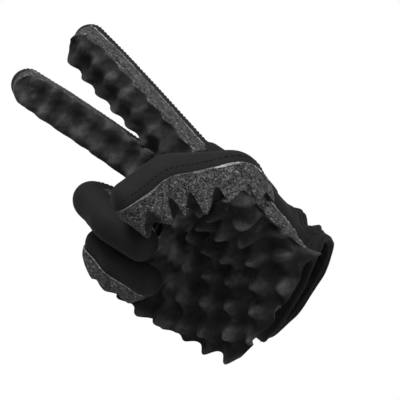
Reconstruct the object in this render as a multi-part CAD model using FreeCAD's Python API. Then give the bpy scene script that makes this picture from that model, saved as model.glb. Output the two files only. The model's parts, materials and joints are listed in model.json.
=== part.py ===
import FreeCAD, Part
import math
import os

# Right-hand sponge glove, worn in a V sign.  Millimetres.
# +Z runs from the wrist opening to the fingers, the palm faces -Y and the thumb side is +X.
# The origin is the centre of the wrist opening.

V = FreeCAD.Vector

# ---- fabric ------------------------------------------------------------------------------
WALL = 1.2          # knit fabric thickness
CUT_GAP = 0.25      # half the slit between two stall segments
NEST_GAP = 0.4      # a knuckle dome inside the mouth of the next stall
TOUCH_GAP = 0.1     # foam to the fabric that it is glued on
ROOT_GAP = 0.5      # around a finger root
SWING_GAP = 0.6     # palm fabric to the thumb over its swing
FOAM_GAP = 0.8      # palm foam to the thumb and its foam
HINGE_MARGIN = 1.0  # degrees of play left in the wedge at a hinge
DOME_SKIRT = 1.5    # a knuckle dome reaches this far before the hinge
COLLAR_START = -3.0  # the collar under a dome, from here along the stall
COLLAR_HEIGHT = 2.0
FOAM_MARGIN = 0.5   # a finger's stall shows beside its foam by this much
FOAM_SEAM = 0.5     # the foam's sides start at this share of the stall's radius in front of its middle
FOAM_CORNER = 3.0   # rounding along the foam's face
TIP_FOAM = 0.8      # the foam runs past the tip joint's length by this share of the stall's radius

# ---- palm tube: height z, centre x, half width, half thickness ------------------------------
PALM_SECTIONS = [
    (0.0, 0.0, 30.0, 21.0),
    (24.0, -1.0, 34.5, 18.5),
    (52.0, -2.0, 40.5, 15.0),
    (78.0, -2.0, 41.5, 13.0),
    (100.0, -1.0, 40.0, 12.3),
]
CUFF_HEM_HEIGHT = 6.0
CUFF_HEM_THICKNESS = 1.6
ELASTIC_BOTTOM = 13.0
ELASTIC_HEIGHT = 6.0
ELASTIC_THICKNESS = 1.0
KNUCKLE_PLATE = 2.0  # fabric wall behind each finger root

# ---- palm foam sheet ------------------------------------------------------------------------
# outline (x, z) and side profile (z, y of the outer face)
PALM_FOAM_OUTLINE = [(-26.0, 4.0), (-43.0, 22.0), (-46.0, 48.0), (-42.0, 71.0), (16.0, 71.0), (16.0, 56.0),
                     (10.0, 36.0), (29.0, 22.0), (29.0, 4.0)]
PALM_FOAM_CORNER = 7.0
PALM_FOAM_PROFILE = [(0.0, -27.0), (10.0, -32.0), (44.0, -31.0), (54.0, -23.0), (64.0, -21.0), (72.0, -17.0)]

# ---- fingers -------------------------------------------------------------------------------
# root: centre of the knuckle hinge; splay and twist: set of the finger in the palm;
# bend: flexion as worn; reach: lowest and highest flexion of the real hand in the thick foam;
# length, radius, foam: one value for each of the three phalanges
FINGERS = {
    "index": dict(root=(27.5, 0.0, 91.0), splay=12.0, twist=4.0, bend=(-3.0, 2.0, 4.0),
                  low=(-10.0, 0.0, 2.8), high=(37.0, 47.0, 31.0),
                  length=(44.0, 25.0, 18.0), radius=(10.0, 9.7, 9.3), foam=(13.0, 13.0, 12.0)),
    "middle": dict(root=(6.0, 1.5, 94.0), splay=1.5, twist=2.0, bend=(7.0, 5.0, 5.0),
                   low=(-5.0, 0.0, 2.0), high=(42.0, 50.0, 32.0),
                   length=(48.0, 29.0, 19.0), radius=(10.0, 9.7, 9.3), foam=(13.0, 13.0, 12.0)),
    "ring": dict(root=(-14.0, 1.0, 90.0), splay=-2.5, twist=2.5, bend=(63.0, 85.0, 35.0),
                 low=(0.0, 0.0, 0.0), high=(63.0, 85.0, 35.0),
                 length=(44.0, 27.0, 19.0), radius=(9.3, 9.1, 8.8), foam=(12.0, 12.0, 10.0)),
    "little": dict(root=(-32.0, -1.0, 82.0), splay=-2.5, twist=2.5, bend=(68.0, 85.0, 35.0),
                   low=(0.0, 0.0, 0.0), high=(68.0, 85.0, 35.0),
                   length=(35.0, 20.0, 17.0), radius=(8.4, 8.2, 8.0), foam=(7.0, 8.0, 8.0)),
}
SEGMENTS = ("proximal", "middle", "distal")
# across each finger root, from and to: the space kept free for the finger
ROOT_SPAN = {"index": (-13.0, 30.0), "middle": (-10.8, 12.0), "ring": (-10.5, 11.0), "little": (-30.0, 9.8)}

# ---- thumb ---------------------------------------------------------------------------------
THUMB_ROOT = V(24.0, -8.0, 20.0)
THUMB_ALONG = V(0.432, -0.668, 0.606)      # from the thumb's root to its knuckle
THUMB_HINGE = V(-0.070, -0.694, -0.716)    # axis of its knuckle
THUMB_SEGMENTS = ("base", "proximal", "distal")
THUMB_LENGTH = (46.0, 34.0, 21.0)
THUMB_RADIUS = (13.0, 11.8, 10.8)
THUMB_FOAM = (10.0, 11.0, 10.0)
THUMB_ROLL = 22.0                          # turn of the tip hinge about the bone
THUMB_BEND = (0.0, 56.0, 28.0)
THUMB_LOW = (0.0, 11.0, 3.0)
THUMB_SWING = 25.0                         # how far the whole thumb swings out
ROOT_BALL_DEPTH = 5.0                      # the round root is kept this far behind the thumb's hinge
JOIN = 0.5                                 # overlap where two shapes are joined into one
THUMB_FOAM_START = 15.0
THUMB_FOAM_TURN = (65.0, 11.0, 0.0)        # the sponge winds round the thumb, from the palm's front to its tip
THUMB_FOAM_LIMIT = -1.2                    # x where the thumb's sponge is pressed flat by the ring finger

KNUCKLE_DOME_FROM = 20.0                   # a joint bent more than this as worn gets a dome
FAR = 60.0


def placement(origin, rotation=None):
    return FreeCAD.Placement(origin, rotation or FreeCAD.Rotation())


def turn(axis, degrees):
    return placement(V(), FreeCAD.Rotation(axis, degrees))


def along(distance):
    return placement(V(0, 0, distance))


def moved(shape, place):
    result = shape.copy()
    result.Placement = place.multiply(result.Placement)
    return result


def prism_yz(points, x_low, x_high):
    """A solid with the outline (y, z), from x_low to x_high."""
    wire = Part.makePolygon([V(x_low, y, z) for y, z in points + points[:1]])
    return Part.Face(wire).extrude(V(x_high - x_low, 0, 0))


def tan(degrees):
    return math.tan(math.radians(degrees))


def beyond_joint(low, high, x_low=-FAR, x_high=FAR):
    """What lies past a hinge at the origin: cut from the side that the hinge is fixed to."""
    front = high / 2 + HINGE_MARGIN
    back = max(0.0, -low) / 2 + HINGE_MARGIN
    points = [(FAR, -CUT_GAP - FAR * tan(back)), (0, -CUT_GAP), (-FAR, -CUT_GAP - FAR * tan(front)),
              (-FAR, FAR * 2), (FAR, FAR * 2)]
    return prism_yz(points, x_low, x_high)


def before_joint(low, high):
    """What lies before a hinge at the origin: cut from the side that turns."""
    return beyond_joint(low, high).mirror(V(), V(0, 0, 1))


def capsule(radius, start, end, closed):
    """A cylinder along Z, with a round tip where it is closed."""
    body = Part.makeCylinder(radius, end - start, V(0, 0, start))
    if closed:
        body = body.fuse(Part.makeSphere(radius, V(0, 0, end))).removeSplitter()
    return body


def stall_tube(radius, length, closed):
    outer = capsule(radius, 0, length, closed)
    inner = capsule(radius - WALL, -1, length if closed else length + 1, closed)
    return outer.cut(inner)


def dome_shell(mouth_radius, bend):
    """The round fabric over the back of a bent hinge at the origin."""
    outer = mouth_radius - WALL - NEST_GAP
    shell = Part.makeSphere(outer).cut(Part.makeSphere(outer - WALL))
    rim = [(0, -DOME_SKIRT), (FAR, -DOME_SKIRT), (FAR, 0)]
    arc = [(FAR * math.cos(math.radians(a)), FAR * math.sin(math.radians(a))) for a in (bend / 2, bend)]
    return shell.common(prism_yz(rim + arc + [(0, 0)], -FAR, FAR))


def dome_collar(own_radius, mouth_radius):
    """Half ring that joins a knuckle dome to the stall that carries it."""
    inner = mouth_radius - 2 * WALL - NEST_GAP
    ring = Part.makeCylinder(own_radius - WALL / 2, COLLAR_HEIGHT, V(0, 0, COLLAR_START))
    ring = ring.cut(Part.makeCylinder(inner, COLLAR_HEIGHT + 2, V(0, 0, COLLAR_START - 1)))
    return ring.common(Part.makeBox(2 * FAR, FAR, 2 * FAR, V(-FAR, 0, -FAR)))


def foam_block(width, radius, foam, start, end):
    """A glued foam strip: its sides start beside the stall, its face is flat."""
    top = -FOAM_SEAM * radius
    block = Part.makeBox(width, top + radius + foam, end - start, V(-width / 2, -radius - foam, start))
    corners = [e for e in block.Edges if abs(e.tangentAt(e.FirstParameter).z) > 0.99
               and e.CenterOfMass.y < top - 1]
    block = block.makeFillet(FOAM_CORNER, corners)
    return block.cut(capsule(radius + TOUCH_GAP, start - 1, end + 1, False))


# ---- places of the segments as worn ------------------------------------------------------------

def finger_places(finger):
    """Placement of each phalanx, and of its hinge, as worn."""
    base = placement(V(*finger["root"])) * turn(V(0, 1, 0), finger["splay"]) * turn(V(0, 0, 1), finger["twist"])
    places = []
    for bend, length in zip(finger["bend"], finger["length"]):
        place = base * turn(V(1, 0, 0), bend)
        places.append(place)
        base = place * along(length)
    return places


def knuckle_place(finger):
    """Placement of a finger's root hinge before it bends."""
    return placement(V(*finger["root"])) * turn(V(0, 1, 0), finger["splay"]) * turn(V(0, 0, 1), finger["twist"])


def thumb_places():
    across = THUMB_ALONG.cross(THUMB_HINGE)
    base = placement(THUMB_ROOT, FreeCAD.Rotation(THUMB_HINGE, across, THUMB_ALONG, "ZXY"))
    proximal = base * along(THUMB_LENGTH[0]) * turn(V(1, 0, 0), THUMB_BEND[1])
    distal = proximal * along(THUMB_LENGTH[1]) * turn(V(0, 0, 1), THUMB_ROLL) * turn(V(1, 0, 0), THUMB_BEND[2])
    return [base, proximal, distal]


# ---- fingers -------------------------------------------------------------------------------

def finger_segment(finger, i):
    """Stall and foam of one phalanx, in its own frame."""
    radius, length = finger["radius"][i], finger["length"][i]
    last = i == 2
    stall = stall_tube(radius, length, last)
    foam_end = length + TIP_FOAM * radius if last else length
    foam = foam_block(2 * (radius - FOAM_MARGIN), radius, finger["foam"][i], 0, foam_end)
    near = before_joint(finger["low"][i], finger["high"][i])
    stall = stall.cut(near)
    foam = foam.cut(near)
    if not last:
        far = moved(beyond_joint(finger["low"][i + 1], finger["high"][i + 1]), along(length))
        stall = stall.cut(far)
        foam = foam.cut(far)
        if finger["bend"][i + 1] > KNUCKLE_DOME_FROM:
            mouth = finger["radius"][i + 1]
            dome = dome_shell(mouth, finger["bend"][i + 1]).fuse(dome_collar(radius, mouth))
            stall = stall.fuse(moved(dome, along(length)))
    return stall, foam


def thumb_segment(i):
    radius, length = THUMB_RADIUS[i], THUMB_LENGTH[i]
    last = i == 2
    stall = stall_tube(radius, length, last)
    foam_start = THUMB_FOAM_START if i == 0 else 0
    foam_end = length + TIP_FOAM * radius if last else length
    foam = foam_block(2 * radius, radius, THUMB_FOAM[i], foam_start, foam_end)
    foam = moved(foam, turn(V(0, 0, 1), THUMB_FOAM_TURN[i]))
    if i > 0:
        near = before_joint(THUMB_LOW[i], THUMB_BEND[i])
        stall = stall.cut(near)
        foam = foam.cut(near)
    if not last:
        roll = turn(V(0, 0, 1), THUMB_ROLL if i == 1 else 0)
        far = moved(beyond_joint(THUMB_LOW[i + 1], THUMB_BEND[i + 1]), along(length) * roll)
        mouth = THUMB_RADIUS[i + 1]
        dome = dome_shell(mouth, THUMB_BEND[i + 1]).fuse(dome_collar(radius, mouth))
        stall = stall.cut(far).fuse(moved(dome, along(length) * roll))
        foam = foam.cut(far)
    if i == 0:
        stall = stall.fuse(thumb_root_ball())
    return stall, foam


def thumb_root_ball():
    """The round root of the thumb, open towards the inside of the palm."""
    radius = THUMB_RADIUS[0]
    ball = Part.makeSphere(radius).cut(Part.makeSphere(radius - WALL))
    ball = ball.cut(Part.makeCylinder(radius - WALL, FAR))
    return ball.common(slab(-ROOT_BALL_DEPTH, JOIN, -FAR, FAR))


# ---- palm ----------------------------------------------------------------------------------

def slot_wire(z, centre, half_width, half_thickness):
    """A flat oval with straight front and back."""
    flat = half_width - half_thickness
    right, left = centre + flat, centre - flat
    corners = [V(left, -half_thickness, z), V(right, -half_thickness, z), V(right, half_thickness, z),
               V(left, half_thickness, z)]
    side = V(right + half_thickness, 0, z)
    other = V(left - half_thickness, 0, z)
    edges = [Part.LineSegment(corners[0], corners[1]).toShape(), Part.Arc(corners[1], side, corners[2]).toShape(),
             Part.LineSegment(corners[2], corners[3]).toShape(), Part.Arc(corners[3], other, corners[0]).toShape()]
    return Part.Wire(edges)


def palm_body(grow):
    """The closed palm tube, grown outwards."""
    return Part.makeLoft([slot_wire(z, x, w + grow, t + grow) for z, x, w, t in PALM_SECTIONS], True)


def slab(z_low, z_high, y_low=-FAR, y_high=FAR):
    return Part.makeBox(2 * FAR, y_high - y_low, z_high - z_low, V(-FAR, y_low, z_low))


def thumb_path(clearance):
    """The space that the thumb's root needs over its swing."""
    place = thumb_places()[0]
    space = Part.makeSphere(THUMB_RADIUS[0] + clearance, THUMB_ROOT)
    rod = moved(Part.makeCylinder(THUMB_RADIUS[0] + clearance, THUMB_LENGTH[0]), place)
    for step in range(5):
        swung = rod.copy()
        swung.rotate(THUMB_ROOT, V(0, 0, 1), THUMB_SWING * step / 4)
        space = space.fuse(swung)
    return space


def thumb_foam_path(clearance):
    """The space that the sponge on the thumb's root needs over its swing."""
    block = foam_block(2 * (THUMB_RADIUS[0] + clearance), THUMB_RADIUS[0], THUMB_FOAM[0] + clearance,
                       THUMB_FOAM_START - clearance, THUMB_LENGTH[0])
    block = moved(block, thumb_places()[0] * turn(V(0, 0, 1), THUMB_FOAM_TURN[0]))
    space = block
    for step in range(1, 5):
        swung = block.copy()
        swung.rotate(THUMB_ROOT, V(0, 0, 1), THUMB_SWING * step / 4)
        space = space.fuse(swung)
    return space


def finger_roots():
    """What lies past the finger hinges."""
    tools = []
    for name, finger in FINGERS.items():
        low, high = ROOT_SPAN[name]
        tools.append(moved(beyond_joint(finger["low"][0], finger["high"][0], low, high), knuckle_place(finger)))
    return tools


def knuckle_plate(finger):
    """The fabric wall behind a finger root, with the dome of a bent knuckle."""
    mouth = finger["radius"][0]
    inner = mouth - 2 * WALL - NEST_GAP
    plate = Part.makeBox(2 * mouth + 2, FAR, KNUCKLE_PLATE, V(-mouth - 1, 0, -KNUCKLE_PLATE - 1))
    plate = plate.cut(Part.makeCylinder(inner, 8, V(0, 0, -6)))
    plate = moved(plate, knuckle_place(finger)).common(palm_body(-WALL / 2))
    if finger["bend"][0] > KNUCKLE_DOME_FROM:
        plate = plate.fuse(moved(dome_shell(mouth, finger["bend"][0]), knuckle_place(finger)))
    return plate


def palm_panels():
    shell = palm_body(0).cut(Part.makeLoft(
        [slot_wire(z + dz, x, w - WALL, t - WALL) for (z, x, w, t), dz in zip(PALM_SECTIONS, (-1, 0, 0, 0, 1))], True))
    for tool in finger_roots():
        shell = shell.cut(tool)
    shell = shell.cut(thumb_path(SWING_GAP))
    back = shell.common(slab(-FAR, 2 * FAR, 0, FAR))
    front = shell.common(slab(-FAR, 2 * FAR, -FAR, 0))
    for finger in FINGERS.values():
        back = back.fuse(knuckle_plate(finger))
    for finger in FINGERS.values():
        room = Part.makeCylinder(finger["radius"][0] + ROOT_GAP, FAR, V(0, 0, CUT_GAP / 2))
        room = room.cut(Part.makeSphere(finger["radius"][0] - WALL))
        back = back.cut(moved(room, knuckle_place(finger)))
    return largest(back), largest(front)


def largest(shape):
    return max(shape.Solids, key=lambda solid: solid.Volume)


def palm_foam():
    wire = Part.makePolygon([V(x, -FAR, z) for x, z in PALM_FOAM_OUTLINE + PALM_FOAM_OUTLINE[:1]])
    block = Part.Face(wire).extrude(V(0, FAR - 4, 0))
    corners = [e for e in block.Edges if abs(e.tangentAt(e.FirstParameter).y) > 0.99]
    block = block.makeFillet(PALM_FOAM_CORNER, corners)
    profile = [(y, z) for z, y in PALM_FOAM_PROFILE] + [(0.0, PALM_FOAM_PROFILE[-1][0]), (0.0, 0.0)]
    block = block.common(prism_yz(profile, -FAR, FAR)).cut(palm_body(TOUCH_GAP))
    for tool in finger_roots():
        block = block.cut(tool)
    hem_room = palm_body(2 * TOUCH_GAP + CUFF_HEM_THICKNESS).common(slab(0, CUFF_HEM_HEIGHT + TOUCH_GAP))
    return largest(block.cut(hem_room).cut(thumb_path(FOAM_GAP)).cut(thumb_foam_path(FOAM_GAP)))


def cuff_hem():
    ring = palm_body(TOUCH_GAP / 2 + CUFF_HEM_THICKNESS).cut(palm_body(TOUCH_GAP / 2))
    return largest(ring.common(slab(0, CUFF_HEM_HEIGHT)))


def wrist_elastic():
    """The elastic tape that gathers the back of the wrist, sewn inside."""
    inside = palm_body(-WALL - TOUCH_GAP / 2)
    tape = inside.cut(palm_body(-WALL - TOUCH_GAP / 2 - ELASTIC_THICKNESS))
    return largest(tape.common(slab(ELASTIC_BOTTOM, ELASTIC_BOTTOM + ELASTIC_HEIGHT, 6, FAR)))


def build():
    parts = {}
    parts["palm_back_panel"], parts["palm_front_panel"] = palm_panels()
    parts["palm_foam"] = palm_foam()
    parts["cuff_hem"] = cuff_hem()
    parts["wrist_elastic"] = wrist_elastic()
    for name, finger in FINGERS.items():
        for i, place in enumerate(finger_places(finger)):
            stall, foam = finger_segment(finger, i)
            parts[f"{name}_{SEGMENTS[i]}_stall"] = largest(moved(stall, place))
            parts[f"{name}_{SEGMENTS[i]}_foam"] = largest(moved(foam, place))
    palm_side = palm_body(FOAM_GAP)
    for i, place in enumerate(thumb_places()):
        stall, foam = thumb_segment(i)
        foam = moved(foam, place)
        if i == 0:
            foam = foam.cut(palm_side)
        if i == 2:
            foam = foam.cut(Part.makeBox(FAR, 3 * FAR, 3 * FAR, V(THUMB_FOAM_LIMIT - FAR, -2 * FAR, -FAR)))
        parts[f"thumb_{THUMB_SEGMENTS[i]}_stall"] = largest(moved(stall, place))
        parts[f"thumb_{THUMB_SEGMENTS[i]}_foam"] = largest(foam)
    return parts


os.makedirs("parts", exist_ok=True)
for node, shape in build().items():
    if not shape.isValid() or shape.ShapeType != "Solid":
        raise ValueError(f"{node} is not one valid solid")
    shape.exportStep(f"parts/{node}.step")
    print(f"{node:24} {shape.Volume:9.0f} mm3")
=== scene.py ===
import json
import math

import bmesh
import bpy
import numpy as np
from mathutils import Matrix, Vector

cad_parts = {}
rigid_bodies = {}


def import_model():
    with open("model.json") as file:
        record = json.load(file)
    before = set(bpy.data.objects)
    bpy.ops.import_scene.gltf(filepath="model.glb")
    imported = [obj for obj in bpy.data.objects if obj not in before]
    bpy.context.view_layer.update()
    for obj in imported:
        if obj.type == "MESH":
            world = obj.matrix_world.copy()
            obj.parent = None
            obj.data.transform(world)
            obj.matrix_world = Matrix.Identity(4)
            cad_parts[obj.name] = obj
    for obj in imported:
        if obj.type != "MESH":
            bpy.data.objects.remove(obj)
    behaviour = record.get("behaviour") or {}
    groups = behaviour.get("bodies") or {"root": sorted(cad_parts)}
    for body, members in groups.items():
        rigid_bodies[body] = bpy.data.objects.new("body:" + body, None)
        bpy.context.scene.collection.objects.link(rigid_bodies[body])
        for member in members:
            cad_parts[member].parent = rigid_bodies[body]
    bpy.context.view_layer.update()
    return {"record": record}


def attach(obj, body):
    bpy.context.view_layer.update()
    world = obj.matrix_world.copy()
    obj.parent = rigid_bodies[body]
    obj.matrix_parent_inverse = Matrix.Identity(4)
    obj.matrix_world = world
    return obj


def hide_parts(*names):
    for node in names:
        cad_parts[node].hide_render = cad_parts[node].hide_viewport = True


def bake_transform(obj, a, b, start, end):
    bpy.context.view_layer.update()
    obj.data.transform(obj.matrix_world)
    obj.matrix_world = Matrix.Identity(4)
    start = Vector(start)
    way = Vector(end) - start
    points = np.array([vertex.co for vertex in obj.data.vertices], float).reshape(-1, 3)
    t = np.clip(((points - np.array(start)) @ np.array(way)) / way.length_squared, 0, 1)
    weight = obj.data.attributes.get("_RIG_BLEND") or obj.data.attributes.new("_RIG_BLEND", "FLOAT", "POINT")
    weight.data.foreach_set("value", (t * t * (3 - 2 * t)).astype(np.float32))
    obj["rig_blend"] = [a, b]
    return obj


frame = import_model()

# A right-hand sponge glove worn in a V sign.  Shapes are worked out in millimetres in the row's
# frame (+Z wrist to fingers, palm -Y, thumb side +X) and written to Blender in metres.
#
# Every digit is drawn straight around each of its joints, blended over that joint, and then bent
# to the pose in which the glove is worn, by the same rule that moves a blended piece.

MM = 0.001
JOINTS = {j["name"]: j for j in frame["record"]["behaviour"]["joints"]}

# ---- sizes, mm ----
KNIT = 0.9              # thickness of the knit
SEAM_Y = 2.5            # the sponge's edge lies this far in front of the middle of a finger
LATTICE = 18.0          # repeat of the egg crate on the digits; nearest peaks are 13 mm apart
PALM_LATTICE = 19.8     # and on the palm, where they are 14 mm apart
STITCH_PITCH = 2.3
STITCH_RADIUS = 0.28
TOPSTITCH_OFF = 4.0     # the line of stitches to the sponge's edge

# For each finger, from the knuckle to the tip: bend as worn; lengths; radii of the knit; reach, half the
# length of the bend at each joint.  Its sponge: half width; low and high, its valleys and peaks over the
# knit; power, crate and phase, the egg crate's roundness, turn in degrees and offset; turn, the degrees by
# which it is wound round the finger, towards the thumb.
DIGITS = {
    "index": dict(bend=(-3, 2, 4), length=(44, 25, 18), radius=(10.0, 9.8, 9.6, 9.2), reach=(11, 12, 8),
                  half=9.6, low=7.0, high=12.8, power=1.3, crate=42, phase=(1.0, 1.0),
                  turn=(-8, -8, -9, -9)),
    "middle": dict(bend=(7, 5, 5), length=(48, 29, 19), radius=(10.0, 9.8, 9.6, 9.2), reach=(11, 12, 8),
                   half=9.6, low=7.5, high=12.0, power=1.1, crate=45, phase=(5.4, 4.0),
                   turn=(10, 10, 9, 8)),
    "ring": dict(bend=(63, 85, 35), length=(44, 27, 19), radius=(9.6, 9.5, 9.3, 9.0), reach=(11, 11, 8),
                 half=7.8, low=4.0, high=8.5, power=1.3, crate=40, phase=(1.0, 2.0),
                 turn=(6, 6, 4, 0)),
    "little": dict(bend=(68, 85, 35), length=(35, 20, 17), radius=(8.7, 8.6, 8.4, 8.2), reach=(10, 9, 6),
                   half=8.6, low=6.5, high=12.0, power=1.3, crate=40, phase=(5.0, 0.0),
                   turn=(-36, -72, -72, -50)),
}
JOINT_NAMES = ("knuckle", "middle_joint", "tip_joint")
SEGMENTS = ("proximal", "middle", "distal")
# The same for the thumb, whose lengths and radii start at its knuckle.  floor and drop deepen the notches
# of its sponge, narrow is how much that narrows at the tip, seam how far its edge lies in front of the
# middle, and tip the length of its round end.
THUMB = dict(bend=(56, 28), length=(34, 21), radius=(12.6, 11.9, 11.2), reach=(12, 10), half=12.0, low=1.5,
             high=8.5, power=0.8, floor=0.40, drop=0.85, narrow=0.0, crate=45, phase=(0.0, 3.0),
             seam=-1.2, tip=8.5)
# how far the thumb's sponge is wound round it: (distance past the joint, degrees)
THUMB_TURN = ([(-40, 86), (-16, 84), (-6, 68), (4, 52), (17, 40)], [(-17, 18), (0, 4), (12, 0), (40, 0)])
THUMB_SQUASH = (0.12, 0.08)  # how much its sponge is flattened at each joint
# the skin of the thumb sits this far to its palm side: (distance past the joint, mm)
THUMB_SHIFT = ([(-30, 3.2), (0, 3.0), (17, 1.0)], [(-17, 1.0), (0, 0.0), (40, 0.0)])


def vec(values):
    return np.array(values, float)


def unit(v):
    return v / np.linalg.norm(v)


def joint_place(name):
    """Where a joint sits, in mm."""
    return vec(JOINTS[name]["pos_m"]) / MM


def rotation(axis, angle):
    """3 by 3 matrix of a turn by angle radians about axis."""
    return np.array(Matrix.Rotation(angle, 3, Vector(axis)))


def wobble(p, size, seed=0.0):
    """Smooth noise from -1 to 1, of about the given size in mm, at points p."""
    q = np.asarray(p, float) * (2 * math.pi / size)
    x, y, z = q[..., 0], q[..., 1], q[..., 2]
    a = np.sin(x * 1.00 + y * 0.47 + seed) + np.sin(y * 1.13 - z * 0.61 + 2.1 * seed)
    b = np.sin(z * 0.91 + x * 0.37 - 1.3 * seed) + np.sin((x + y + z) * 0.73)
    return (a + b) / 4


def egg_crate(s, t, turn, phase=(0.0, 0.0), pitch=LATTICE, power=1.6, floor=0.0):
    """Height of the convoluted sponge from 0 in the valleys to 1 on the peaks.

    A low power rounds the peaks; floor cuts off the waves below it, for deeper notches."""
    c, n = math.cos(math.radians(turn)), math.sin(math.radians(turn))
    k = 2 * math.pi / pitch
    a = np.cos(((s + phase[0]) * c + (t + phase[1]) * n) * k)
    b = np.cos(((t + phase[1]) * c - (s + phase[0]) * n) * k)
    wave = np.clip((0.5 + 0.5 * a * b - floor) / (1 - floor), 0, 1)
    return wave ** power


def table(x, pairs):
    """Straight lines between the pairs (x, value)."""
    return np.interp(x, [p[0] for p in pairs], [p[1] for p in pairs])


def smooth_step(x):
    x = np.clip(x, 0, 1)
    return x * x * (3 - 2 * x)


# ---- hinges: the frame in which a joint's straight piece is drawn ----

class Hinge:
    """z runs along the straight digit, x is the flexion axis, -y is the palm side."""

    def __init__(self, name, bend, along_after, sign=1.0):
        joint = JOINTS[name]
        self.name, self.a, self.b = name, joint["parent"], joint["child"]
        self.pos = joint_place(name)
        self.x = unit(vec(joint["axis"])) * sign
        self.bend = math.radians(bend)
        self.z = rotation(self.x, -self.bend) @ unit(along_after)
        self.z = unit(self.z - self.x * (self.z @ self.x))
        self.y = np.cross(self.z, self.x)
        self.after = rotation(self.x, self.bend) @ self.z

    def world(self, p):
        p = np.asarray(p, float)
        return self.pos + p[..., :1] * self.x + p[..., 1:2] * self.y + p[..., 2:3] * self.z


def digit_hinges():
    hinges = {}
    for name, d in DIGITS.items():
        pos = [joint_place(f"{name}_{j}") for j in JOINT_NAMES]
        first = Hinge(f"{name}_knuckle", d["bend"][0], pos[1] - pos[0])
        second = Hinge(f"{name}_middle_joint", d["bend"][1], pos[2] - pos[1])
        tip_way = rotation(second.x, math.radians(d["bend"][2])) @ second.after
        hinges[name] = [first, second, Hinge(f"{name}_tip_joint", d["bend"][2], tip_way)]
    way = joint_place("thumb_tip_joint") - joint_place("thumb_knuckle")
    first = Hinge("thumb_knuckle", THUMB["bend"][0], way, -1.0)
    tip_axis = -vec(JOINTS["thumb_tip_joint"]["axis"])
    tip_way = rotation(unit(tip_axis), math.radians(THUMB["bend"][1])) @ first.after
    hinges["thumb"] = [first, Hinge("thumb_tip_joint", THUMB["bend"][1], tip_way, -1.0)]
    return hinges


# ---- meshes ----

class Builder:
    """Collects vertices, faces, material numbers and UVs (mm along the cloth) of one piece."""

    def __init__(self):
        self.verts, self.faces, self.slots, self.uvs, self.count = [], [], [], [], 0

    def grid(self, points, slot, uv=None, wrap=False, flip=False):
        """A grid of points (rows, columns, 3); wrap joins the last column to the first."""
        rows, cols = points.shape[:2]
        start = self.count
        self.verts.append(points.reshape(-1, 3))
        self.count += rows * cols
        index = start + np.arange(rows * cols).reshape(rows, cols)
        step = cols if wrap else cols - 1
        for r in range(rows - 1):
            for c in range(step):
                d = (c + 1) % cols
                quad = (index[r, c], index[r, d], index[r + 1, d], index[r + 1, c])
                self.faces.append(quad[::-1] if flip else quad)
                material = slot(r, c) if callable(slot) else slot
                self.slots.append(material)
                if uv is None:
                    self.uvs.append(((0, 0),) * 4)
                else:
                    u, v = uv
                    u2 = u[c + 1] if c + 1 < len(u) else u[-1] + (u[1] - u[0])
                    corners = ((u[c], v[r]), (u2, v[r]), (u2, v[r + 1]), (u[c], v[r + 1]))
                    self.uvs.append(corners[::-1] if flip else corners)
        return index

    def polygon(self, loop, slot):
        self.faces.append(tuple(loop))
        self.slots.append(slot)
        self.uvs.append(((0, 0),) * len(loop))

    def tube(self, points, slot=0, end=0):
        """A grid wrapped into a tube, with a polygon over each end."""
        index = self.grid(points, slot, wrap=True)
        self.polygon(index[0][::-1], end)
        self.polygon(index[-1], end)

    def bridge(self, one, two, slot):
        """Quads between two closed loops of the same length."""
        n = len(one)
        for i in range(n):
            j = (i + 1) % n
            self.faces.append((one[i], one[j], two[j], two[i]))
            self.slots.append(slot)
            self.uvs.append(((0, 0),) * 4)

    def make(self, name, materials, smooth=True):
        mesh = bpy.data.meshes.new(name)
        points = np.concatenate(self.verts) * MM
        mesh.from_pydata(points.tolist(), [], self.faces)
        for material in materials:
            mesh.materials.append(material)
        mesh.polygons.foreach_set("material_index", self.slots)
        mesh.polygons.foreach_set("use_smooth", [smooth] * len(self.faces))
        layer = mesh.uv_layers.new(name="UVMap")
        flat = [c * MM for face in self.uvs for corner in face for c in corner]
        layer.data.foreach_set("uv", flat)
        mesh.update()
        if smooth:
            mesh.set_sharp_from_angle(angle=math.radians(62))
        obj = bpy.data.objects.new(name, mesh)
        bpy.context.scene.collection.objects.link(obj)
        return obj


def remake(obj, change):
    """Edit a piece through a function of its bmesh."""
    bm = bmesh.new()
    bm.from_mesh(obj.data)
    change(bm)
    bm.to_mesh(obj.data)
    bm.free()


def outward(obj):
    """Turn the faces of a closed piece outwards."""
    remake(obj, lambda bm: bmesh.ops.recalc_face_normals(bm, faces=bm.faces))


def rows_of(data, name, width=1, kind=np.float32):
    """One attribute of all vertices or loops, as rows of the given width."""
    values = np.empty(len(data) * width, kind)
    data.foreach_get(name, values)
    return values.reshape(-1, width)


def shape(obj, change):
    """Move the vertices of a piece by a function of points in mm."""
    mesh = obj.data
    moved = change(rows_of(mesh.vertices, "co", 3) / MM) * MM
    mesh.vertices.foreach_set("co", moved.astype(np.float32).ravel())
    mesh.update()


def bend_as_worn(obj, hinge, before, after):
    """Blend a straight piece over its hinge, then bend it to the worn pose by its own weights."""
    outward(obj)
    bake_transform(obj, hinge.a, hinge.b, start=tuple(hinge.world([0, 0, -before]) * MM),
             end=tuple(hinge.world([0, 0, after]) * MM))
    angle = rows_of(obj.data.attributes["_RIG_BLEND"].data, "value") * hinge.bend

    def turn(p):
        p = p - hinge.pos
        along = (p @ hinge.x)[:, None] * hinge.x
        return along + (p - along) * np.cos(angle) + np.cross(hinge.x, p) * np.sin(angle) + hinge.pos

    shape(obj, turn)


# ---- materials ----

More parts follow.
